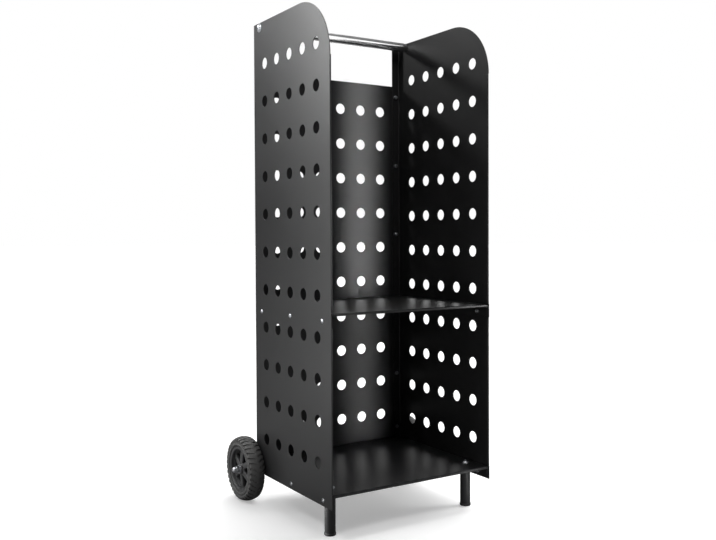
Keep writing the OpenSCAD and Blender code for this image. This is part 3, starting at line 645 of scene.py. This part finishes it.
places = [facing(Z, side * LEG_X, LEG_Y, SHELF_TOP["bottom"] + WASHER_HEIGHT) for side in (-1, 1)]
zinc_set("leg_bolt_pair", bolt_into(LEG_INSERT), places, "leg_bolts")


# ---- Axle brackets -------------------------------------------------------------------------
# Two angles of 3 mm plate, bolted to the back panel and the side panels' flanges. The cheek
# towards the wheel ends in an eye that holds the axle.

PLATE, PLATE_EASE = 3, 0.5
BRACKET_BASE = 26
BRACKET_END = 9
BRACKET_CORNER = 3
EYE = 11
AXLE = 10
BRACKET_X = corners("right_axle_bracket")[1].x
axle_low, axle_high = corners("axle_rod")
AXLE_Y, AXLE_Z = (axle_low.y + axle_high.y) / 2, (axle_low.z + axle_high.z) / 2


def axle_bracket():
    """The right-hand angle. Its drawing lies on the base's rear face, with X towards the wheel."""
    low, high = BRACKET_BOLT_ZS[0] - BRACKET_END, BRACKET_BOLT_ZS[1] + BRACKET_END
    base_edge = BRACKET_X - BRACKET_BASE
    line = BRACKET_X - FOLD - PLATE
    cheek = line + allowance(thickness=PLATE)
    back = AXLE_Y - (BACK_FACE + FOLD + PLATE)
    eye_x = cheek + back
    rise = high - AXLE_Z
    first = -pi + acos(back / EYE)
    last = atan2(rise, -back) - acos(EYE / hypot(rise, back))
    outline = [(base_edge, high, BRACKET_CORNER), (base_edge, low, BRACKET_CORNER), (cheek, low)]
    for step in range(ARC_STEPS + 1):
        angle = first + (last - first) * step / ARC_STEPS
        outline.append((eye_x + EYE * cos(angle), AXLE_Z + EYE * sin(angle)))
    outline.append((cheek, high))
    holes = [(FLANGE_SCREW_X, z, SCREW_HOLE) for z in BRACKET_BOLT_ZS]
    holes.append((eye_x, AXLE_Z, AXLE + BORE_GAP))
    bm = cut_blank(outline, holes, thickness=PLATE, ease=PLATE_EASE)
    fold(bm, line, X, thickness=PLATE)
    bmesh.ops.transform(bm, matrix=turned_to(X, Z, -Y, (0, BACK_FACE + PLATE, 0)), verts=bm.verts[:])
    return bm


bracket_coat = powder_coat("bracket_coat")
right_bracket = axle_bracket()
finish_piece("left_axle_angle", mirrored(right_bracket), "cart", "powder_coat", bracket_coat,
             "left_axle_bracket")
finish_piece("right_axle_angle", right_bracket, "cart", "powder_coat", bracket_coat,
             "right_axle_bracket")
heads = [facing(Y, side * FLANGE_SCREW_X, BACK_FACE + PLATE, z)
         for side in (-1, 1) for z in BRACKET_BOLT_ZS]
nuts = [facing(-Y, side * FLANGE_SCREW_X, BACK_FACE - layers * SHEET, z)
        for side in (-1, 1) for z, layers in zip(BRACKET_BOLT_ZS, (3, 2))]
zinc_set("bracket_bolt_set", screw_for(PLATE + TWO_SHEETS), heads, "bracket_bolts")
zinc_set("bracket_nut_set", screw_nut(), nuts, "bracket_nuts")


# ---- Axle and its sleeves ------------------------------------------------------------------
# A drawn steel rod through both brackets and both wheels, stepped down to a thread at each
# end. A short sleeve on each side keeps the wheel off the side panel.

AXLE_THREAD, AXLE_CHAMFER = 8, 0.8
SLEEVE, SLEEVE_GAP = 16, 0.1
SHOULDER_X = corners("axle_washers")[1].x - WASHER_HEIGHT


def drawn_steel(name):
    """Bright drawn bar, with fine lines along its length."""
    bright, dull = (0.5, 0.5, 0.51, 1), (0.36, 0.36, 0.37, 1)
    steel = Finish(name)
    lines = steel.noise(scale=900, stretch=(0.02, 1, 1))
    cloud = steel.noise(scale=30, detail=3)
    steel.set(
        Metallic=1.0,
        Base_Color=steel.blend((cloud * 0.9).clamped(), bright, dull),
        Roughness=(0.24 + lines * 0.14).clamped(),
        Normal=steel.bump(lines, strength=0.08, distance=0.00004),
    )
    return steel.material


axle_steel = drawn_steel("drawn_axle_steel")
right_end = [(AXLE / 2, SHOULDER_X, AXLE_CHAMFER), (AXLE_THREAD / 2, SHOULDER_X),
             (AXLE_THREAD / 2, axle_high.x, AXLE_CHAMFER), (0, axle_high.x)]
left_end = [(point[0], -point[1], *point[2:]) for point in reversed(right_end)]
rod = along(X, turned(left_end + right_end), 0, AXLE_Y, AXLE_Z)
finish_piece("axle_bar", rod, "cart", "axle_steel", axle_steel, "axle_rod")
sleeve_length = corners("axle_sleeves")[1].x - BRACKET_X
sleeve = tube(SLEEVE, (SLEEVE - AXLE) / 2 - SLEEVE_GAP, sleeve_length, segments=48)
places = [facing(out, side * BRACKET_X, AXLE_Y, AXLE_Z) for side, out in ends]
finish_piece("axle_sleeve_pair", set_out(sleeve, places), "cart", "axle_steel", axle_steel,
             "axle_sleeves")


# ---- Wheel rims ----------------------------------------------------------------------------
# One moulding in black plastic: a hub with the axle's bore, six ribbed spokes that rise
# towards the hub, and a flanged barrel that holds the tyre.

RIM_START, RIM_END = 2, 31
RIM_WALL, RIM_CHANNEL = 3, 4
CHANNEL_EDGE, CHANNEL_FLOOR_EDGE = 0.6, 0.8
LIP_EDGE, BARREL_EDGE = 1.2, 1.8
HUB, HUB_LENGTH, HUB_EDGE = 12, 29.6, 1
RUNNING_GAP, BORE_EDGE = 0.05, 0.5
SPOKES, SPOKE_WIDTH, SPOKE_THICKNESS, SPOKE_EDGE = 6, 12, 5, 1.2
SPOKE_SETBACK, SPOKE_RISE = 7, 3
SPOKE_FRONT = RIM_END - SPOKE_SETBACK
SPOKE_OVERLAP = 1
WINDOW_GAP = 2
WINDOW_OUTER_CORNER, WINDOW_INNER_CORNER = 2.5, 0.9
RIB_WIDTH, RIB_LOW, RIB_DROP = 3, 14, 1
RIM_STEPS = 96
rim_low, rim_high = corners("right_wheel_rim")
tyre_low, tyre_high = corners("right_tyre")
RIM = (rim_high.z - rim_low.z) / 2
BARREL = RIM - RIM_CHANNEL - RIM_WALL
WHEEL_X = tyre_low.x


def arc(radius, first, last, steps):
    """Points along an arc round the wheel's centre."""
    angles = [first + (last - first) * step / steps for step in range(steps + 1)]
    return [(radius * cos(angle), radius * sin(angle)) for angle in angles]


def spoke_window(middle):
    """The opening between two spokes, drawn round its middle direction."""
    inner, outer = HUB + WINDOW_GAP, BARREL - WINDOW_GAP
    near = pi / SPOKES - asin(SPOKE_WIDTH / 2 / inner)
    far = pi / SPOKES - asin(SPOKE_WIDTH / 2 / outer)
    outside = arc(outer, middle - far, middle + far, steps=8)
    inside = arc(inner, middle + near, middle - near, steps=1)
    for points, radius in ((outside, WINDOW_OUTER_CORNER), (inside, WINDOW_INNER_CORNER)):
        for end in (0, -1):
            points[end] = (*points[end], radius)
    return outside + inside


def wheel_rim():
    """The right-hand rim along the axle, with one spoke straight up."""
    turns = [pi / 2 + 2 * pi * spoke / SPOKES for spoke in range(SPOKES)]
    windows = [spoke_window(turn + pi / SPOKES) for turn in turns]
    web = arc(BARREL + SPOKE_OVERLAP, 0, 2 * pi, RIM_STEPS)[:-1]
    hub_hole = (0, 0, 2 * (HUB - SPOKE_OVERLAP))
    bm = cut_blank(web, [hub_hole], windows, SPOKE_THICKNESS, SPOKE_EDGE)
    for vert in bm.verts:
        outwards = (hypot(vert.co.x, vert.co.y) - HUB) / (BARREL - HUB)
        vert.co.z += SPOKE_FRONT - SPOKE_THICKNESS + SPOKE_RISE * (1 - outwards)
    rib_height = SPOKE_FRONT - RIB_DROP - RIB_LOW
    rib_length = BARREL - HUB + 2 * SPOKE_OVERLAP
    for turn in turns:
        rib = bmesh.ops.create_cube(bm, size=1)["verts"]
        bmesh.ops.scale(bm, vec=(rib_length, RIB_WIDTH, rib_height), verts=rib)
        centre = Matrix.Translation(((HUB + BARREL) / 2, 0, RIB_LOW + rib_height / 2))
        bmesh.ops.transform(bm, matrix=Matrix.Rotation(turn, 4, "Z") @ centre, verts=rib)
    floor, near, far = RIM - RIM_CHANNEL, RIM_START + RIM_WALL, RIM_END - RIM_WALL
    channel = [(RIM, near, CHANNEL_EDGE), (floor, near, CHANNEL_FLOOR_EDGE),
               (floor, far, CHANNEL_FLOOR_EDGE), (RIM, far, CHANNEL_EDGE)]
    lips = [(RIM, RIM_END, LIP_EDGE), (BARREL, RIM_END, BARREL_EDGE),
            (BARREL, RIM_START, BARREL_EDGE), (RIM, RIM_START, LIP_EDGE)]
    bore = AXLE / 2 + RUNNING_GAP
    hub = [(bore, 0, BORE_EDGE), (HUB, 0, HUB_EDGE),
           (HUB, HUB_LENGTH, HUB_EDGE), (bore, HUB_LENGTH, BORE_EDGE)]
    for outline in (channel + lips, hub):
        part = turned(outline, RIM_STEPS, closed=True)
        mesh = bpy.data.meshes.new("rim_part")
        part.to_mesh(mesh)
        part.free()
        bm.from_mesh(mesh)
        bpy.data.meshes.remove(mesh)
    return along(X, bm, WHEEL_X, AXLE_Y, AXLE_Z)


rim_plastic = moulded_plastic("rim_plastic", base=(0.026, 0.026, 0.027, 1),
                              worn=(0.055, 0.055, 0.056, 1), roughness=0.33, grain_scale=1500)
right_rim = wheel_rim()
finish_piece("left_rim", mirrored(right_rim), "left_wheel", "rim_plastic", rim_plastic, "left_wheel_rim")
finish_piece("right_rim", right_rim, "right_wheel", "rim_plastic", rim_plastic, "right_wheel_rim")


# ---- Tyres ---------------------------------------------------------------------------------
# Solid black rubber, moulded with a bead that sits in the rim's channel. Slanted grooves cut
# both shoulders into blocks, half a block out of step from one side to the other.

TYRE = (tyre_high.z - tyre_low.z) / 2
TYRE_WIDTH = tyre_high.x - tyre_low.x
CROWN, SHOULDER = 30, 4
PROFILE_STEPS = 6
BEAD_GAP, LIP_GAP = 0.1, 0.4
# Height above the rim and depth from the widest face, over the ring moulded in the sidewall.
SIDEWALL = [(0.4, 1.2), (1.2, 0.3), (2.4, 0), (4.6, 0),
            (5.4, 0.35), (5.8, 0.95), (6.6, 1.1), (8.5, 0.8)]
# The same for its last point, with the height taken down from the shoulder's centre.
SIDEWALL_END = (1.6, 0.25)
GROOVES, GROOVE_COLUMNS, GROOVE_WIDTH = 36, 8, 3
GROOVE_DEPTH, GROOVE_DRAFT = 3, 0.4
# A groove is shallower by this share at its inner end.
GROOVE_RISE = 0.7
GROOVE_SLANT = radians(24)
GROOVE_REACH = 14.5


def tyre():
    """The right-hand tyre. Its section is spun, and then the grooves are pressed in."""
    middle = TYRE_WIDTH / 2
    crown_centre = TYRE - CROWN
    shoulder_centre = crown_centre + sqrt((CROWN - SHOULDER) ** 2 - (middle - SHOULDER) ** 2)
    lean = atan2(middle - SHOULDER, shoulder_centre - crown_centre)
    last = asin((middle - GROOVE_REACH) / CROWN)
    bead, bead_side = RIM - RIM_CHANNEL + BEAD_GAP, RIM_START + RIM_WALL + LIP_GAP
    side_end = shoulder_centre - SIDEWALL_END[0]
    half = [(bead, middle), (bead, bead_side), (RIM + LIP_GAP, bead_side)]
    half += [(RIM + rise, depth) for rise, depth in SIDEWALL]
    half.append((side_end, SIDEWALL_END[1]))
    for step in range(PROFILE_STEPS + 1):
        angle = -pi / 2 + (pi / 2 - lean) * step / PROFILE_STEPS
        half.append((shoulder_centre + SHOULDER * cos(angle), SHOULDER + SHOULDER * sin(angle)))
    for step in range(1, PROFILE_STEPS + 1):
        angle = -lean + (lean - last) * step / PROFILE_STEPS
        half.append((crown_centre + CROWN * cos(angle), middle + CROWN * sin(angle)))
    section = half + [(TYRE, middle)]
    section += [(radius, TYRE_WIDTH - height) for radius, height in reversed(half[1:])]
    columns = GROOVES * GROOVE_COLUMNS
    bm = turned(section, columns, closed=True)
    pressed = []
    for face in bm.faces:
        centre = face.calc_center_median()
        column = int(atan2(centre.y, centre.x) % (2 * pi) / (2 * pi) * columns) % GROOVE_COLUMNS
        start = 0 if centre.z < middle else GROOVE_COLUMNS // 2
        outside = hypot(centre.x, centre.y) > side_end
        in_reach = abs(centre.z - middle) > middle - GROOVE_REACH
        if outside and in_reach and column in range(start, start + GROOVE_WIDTH):
            pressed.append(face)
    bmesh.ops.inset_region(bm, faces=pressed, thickness=GROOVE_DRAFT, use_even_offset=True)
    bm.normal_update()
    for vert in {vert for face in pressed for vert in face.verts}:
        inwards = (middle - abs(vert.co.z - middle)) / GROOVE_REACH
        vert.co -= vert.normal * GROOVE_DEPTH * (1 - GROOVE_RISE * inwards)
    for vert in bm.verts:
        inwards = middle - abs(vert.co.z - middle)
        vert.co = Matrix.Rotation(tan(GROOVE_SLANT) * inwards / TYRE, 3, "Z") @ vert.co
    return along(X, bm, WHEEL_X, AXLE_Y, AXLE_Z)


def moulded_rubber(name):
    """Matt black rubber with a fine grain and the grey bloom that tyres get."""
    black, bloom = (0.032, 0.032, 0.032, 1), (0.085, 0.084, 0.082, 1)
    rubber = Finish(name)
    fine = rubber.noise(scale=1400, detail=3)
    dusty = rubber.noise(scale=30, detail=4, roughness=0.6)
    rubber.set(
        Base_Color=rubber.blend((dusty * 1.1 - 0.1).clamped(), black, bloom),
        Roughness=(0.62 + dusty * 0.2).clamped(),
        Normal=rubber.bump(fine, strength=0.35, distance=0.0001),
    )
    return rubber.material


tyre_rubber = moulded_rubber("tyre_rubber")
right_tyre = tyre()
finish_piece("left_tread_tyre", mirrored(right_tyre), "left_wheel", "tyre_rubber", tyre_rubber,
             "left_tyre")
finish_piece("right_tread_tyre", right_tyre, "right_wheel", "tyre_rubber", tyre_rubber,
             "right_tyre")


# ---- Axle washers and cap nuts -------------------------------------------------------------
# A washer against each step of the axle and a domed M8 nut on the thread keep the wheels on.
# Both are bright zinc plated.

CAP_FLATS, CAP_HEX, CAP_HEIGHT = 13, 6.5, 15
CAP_STEP = 0.25
CAP_DOME = CAP_FLATS / 2 - CAP_STEP
CAP_BORE_GAP, CAP_BORE_SHARE, CAP_SINK = 0.1, 0.65, 0.5


def cap_nut():
    """The domed nut along Z, standing on z = 0, with its bore below."""
    ring, edge, steps = CAP_FLATS * HEXAGON_RING, 0.1, 12
    bore, depth = AXLE_THREAD / 2 + CAP_BORE_GAP, CAP_HEIGHT * CAP_BORE_SHARE
    outline = [(0, depth), (bore, depth), (bore, CAP_SINK), (bore + CAP_SINK, 0),
               (CAP_FLATS / 2 - 2 * edge, 0), (ring, edge), (ring, CAP_HEX - edge),
               (CAP_DOME + edge / 2, CAP_HEX), (CAP_DOME, CAP_HEX + edge)]
    for step in range(steps + 1):
        angle = pi / 2 * step / steps
        outline.append((CAP_DOME * cos(angle), CAP_HEIGHT - CAP_DOME + CAP_DOME * sin(angle)))
    bm = turned(outline)
    to_hexagon(bm, ring, CAP_FLATS, HEXAGON_SLOPE)
    return bm


places = [facing(out, side * SHOULDER_X, AXLE_Y, AXLE_Z) for side, out in ends]
zinc_set("axle_washer_pair", washer(), places, "axle_washers")
places = [facing(out, side * (SHOULDER_X + WASHER_HEIGHT), AXLE_Y, AXLE_Z) for side, out in ends]
zinc_set("axle_cap_nut_pair", cap_nut(), places, "axle_cap_nuts")


# ---- Studio --------------------------------------------------------------------------------
# A pale floor that runs out to white, soft boxes, and the camera at the photograph's view.

FLOOR_SIZE = 60
FLOOR_SHADE, FLOOR_SHADE_SEEN = 0.25, 0.6
FLOOR_GLOW, FAR_GLOW = 0.31, 0.19
GLOW_START, GLOW_SLOPE = 1.2, 0.3

# The floor and the sky are pale to the camera only, so that the black sheets don't mirror
# a white room. The floor's glow grows with distance, so that its far part is white.
floor_mesh = bmesh.new()
bmesh.ops.create_grid(floor_mesh, x_segments=1, y_segments=1, size=FLOOR_SIZE)
floor_finish = Finish("studio_floor")
seen = floor_finish.node("ShaderNodeLightPath", {}, {}, "Is Camera Ray")
place = {0: floor_finish.place}
distance = floor_finish.node("ShaderNodeVectorMath", {"operation": "LENGTH"}, place, "Value")
sweep = ((distance - GLOW_START) * GLOW_SLOPE).clamped()
floor_finish.set(Base_Color=FLOOR_SHADE + FLOOR_SHADE_SEEN * seen, Roughness=1.0,
                 Specular_IOR_Level=0.0, Emission_Strength=1.0,
                 Emission_Color=seen * (FLOOR_GLOW + sweep * FAR_GLOW))
floor_data = bpy.data.meshes.new("studio_floor")
floor_mesh.to_mesh(floor_data)
floor_data.materials.append(floor_finish.material)
studio_floor = bpy.data.objects.new("studio_floor", floor_data)
bpy.context.scene.collection.objects.link(studio_floor)


def soft_box(name, size, power, at, towards, spread=180):
    """A rectangular area light that looks at a point."""
    lamp = bpy.data.lights.new(name, "AREA")
    lamp.shape = "RECTANGLE"
    lamp.size, lamp.size_y = size
    lamp.energy = power
    lamp.spread = radians(spread)
    made = bpy.data.objects.new(name, lamp)
    made.location = at
    made.rotation_euler = (Vector(towards) - Vector(at)).to_track_quat("-Z", "Y").to_euler()
    made.visible_camera = False
    bpy.context.scene.collection.objects.link(made)
    return made


soft_box("key_box", (0.3, 0.3), 8, (-1.52, 1.79, 1.98), (0.1, 0, 0.85))
soft_box("front_strip", (0.04, 0.8), 0.31, (0.207, -0.68, 0.84), (0.085, 0.118, 0.84), spread=10)
soft_box("front_low_strip", (0.04, 0.5), 0.09, (0.207, -0.68, 0.2), (0.085, 0.118, 0.2), spread=10)
soft_box("front_top_box", (1.4, 0.5), 13, (-0.3, -1.6, 2.2), (0, 0, 0.9))

# These lights reach only the pieces named with them, as flags would see to in a studio.
left_lights = [soft_box("left_strip", (0.1, 1.8), 4.3, (-0.65, 0.3, 0.9), (-0.186, -0.2, 0.7)),
               soft_box("left_top_strip", (0.14, 1.0), 13, (-0.95, 0.62, 1.44), (-0.186, -0.15, 0.95))]
left_pieces = ("left_side_sheet", "left_tread_tyre", "left_rim", "left_leg_tube", "left_foot",
               "left_axle_angle", "axle_cap_nut_pair", "axle_washer_pair", "handle_bolt_pair",
               "handle_washer_pair", "middle_shelf_screw_set")
leg_lights = [soft_box("left_leg_box", (0.2, 0.3), 9, (-0.62, 0.15, 0.15), (-0.16, -0.15, 0.05))]
handle_lights = [soft_box("handle_front_box", (1.2, 1.5), 8, (0.35, -0.62, 0.8), (0.35, 0, 0.8)),
                 soft_box("handle_top_box", (1.5, 3), 3.5, (0.3, 0.6, 2.0), (0.3, 0.6, 0))]
for group, lights, pieces in (("left_only", left_lights, left_pieces),
                              ("leg_only", leg_lights, ("left_leg_tube", "left_foot")),
                              ("handle_only", handle_lights, ("handle_bar",))):
    receivers = bpy.data.collections.new(group)
    for piece in pieces:
        receivers.objects.link(bpy.data.objects[piece])
    for light in lights:
        light.light_linking.receiver_collection = receivers

soft_box("right_leg_box", (0.8, 0.6), 21, (1.6, -0.42, 0.5), (0.2, -0.1, 0.1))
soft_box("left_low_box", (1.0, 0.6), 7, (-1.6, -0.5, 0.35), (-0.2, 0, 0.1))
soft_box("rear_box", (2, 2), 30, (2.4, 2.4, 1.3), (0, 0, 0.5))
soft_box("top_box", (1.6, 1.6), 12, (0.2, 0.9, 2.7), (0, 0, 0.5))
soft_box("wheel_box", (0.4, 0.4), 6, (-1.2, -0.3, 1.6), (-0.25, 0.1, 0.07))

overhead = bpy.data.lights.new("overhead", "SUN")
overhead.energy = 2.7
overhead.angle = radians(62)
overhead_light = bpy.data.objects.new("overhead", overhead)
overhead_light.rotation_euler = Vector((-1.1, -0.7, -2)).to_track_quat("-Z", "Y").to_euler()
overhead_light.visible_glossy = False
bpy.context.scene.collection.objects.link(overhead_light)

world = bpy.data.worlds.new("studio")
bpy.context.scene.world = world
world.use_nodes = True
sky = world.node_tree
light_path = sky.nodes.new("ShaderNodeLightPath")
backdrop = sky.nodes.new("ShaderNodeBackground")
backdrop.inputs["Color"].default_value = (1, 1, 1, 1)
mixer = sky.nodes.new("ShaderNodeMixShader")
ambient = sky.nodes["Background"]
ambient.inputs["Color"].default_value = (1, 1, 1, 1)
ambient.inputs["Strength"].default_value = 0.012
sky.links.new(light_path.outputs["Is Camera Ray"], mixer.inputs["Fac"])
sky.links.new(ambient.outputs[0], mixer.inputs[1])
sky.links.new(backdrop.outputs[0], mixer.inputs[2])
sky.links.new(mixer.outputs[0], sky.nodes["World Output"].inputs["Surface"])
bpy.context.scene.view_settings.view_transform = "Standard"

IMAGE_WIDTH = 716
FOCAL_PIXELS = 847.6
AXIS_ABOVE_MIDDLE = 18.2
CAMERA_YAW, CAMERA_PITCH, CAMERA_ROLL = 0.5613, -0.019, -0.0045
lens = bpy.data.cameras.new("camera")
lens.sensor_width = 36
lens.lens = FOCAL_PIXELS / IMAGE_WIDTH * lens.sensor_width
lens.shift_y = -AXIS_ABOVE_MIDDLE / IMAGE_WIDTH
lens.clip_end = 50
camera = bpy.data.objects.new("camera", lens)
camera.location = (-0.9541, -1.5121, 0.5589)
camera.rotation_euler = (
    Matrix.Rotation(-CAMERA_YAW, 3, "Z")
    @ Matrix.Rotation(pi / 2 + CAMERA_PITCH, 3, "X")
    @ Matrix.Rotation(CAMERA_ROLL, 3, "Z")
).to_euler()
bpy.context.scene.collection.objects.link(camera)
bpy.context.scene.camera = camera
